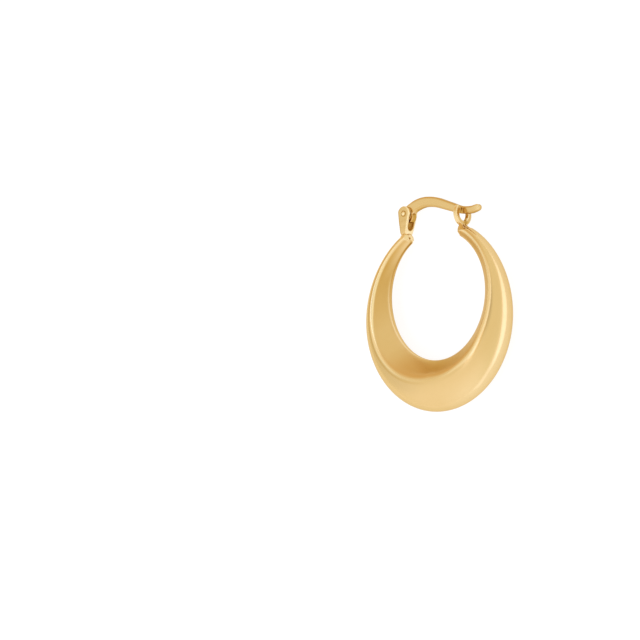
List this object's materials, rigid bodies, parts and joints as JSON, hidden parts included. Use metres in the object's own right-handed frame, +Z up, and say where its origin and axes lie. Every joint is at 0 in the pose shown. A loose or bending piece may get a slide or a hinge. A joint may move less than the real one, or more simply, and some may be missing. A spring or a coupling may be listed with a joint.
{
  "type": "creole hoop earring",
  "caption": "Hollow graduated oval creole hoop, full at the bottom and slim at both ends, closed by a hinged ear wire that rests in an open ring catch.",
  "frame": {"origin": "centre of the bottom of the bounding box, on the surface that the earring lies on", "axes": "+Z up out of the surface and through the opening, front face up; +Y from the hoop's fullest place towards the ear wire; +X from the hinge towards the catch"},
  "size_m": [0.0212, 0.0262, 0.0057],
  "materials": {
    "satin_gold": "satin-polished yellow gold plate",
    "polished_gold": "polished yellow gold plate",
    "rivet_gold": "bright yellow gold plate"
  },
  "bodies": {
    "hoop_body": {"hoop": "satin_gold", "hinge_rivet": "rivet_gold"},
    "ear_wire_body": {"ear_wire": "polished_gold"}
  },
  "joints": [
    {"name": "ear_wire_hinge", "type": "hinge", "parent": "hoop_body", "child": "ear_wire_body", "pos_m": [-0.00415, 0.01134, 0.00139], "axis": [-0.003, 0.0698, 0.9976], "range_deg": [0, 95]}
  ]
}
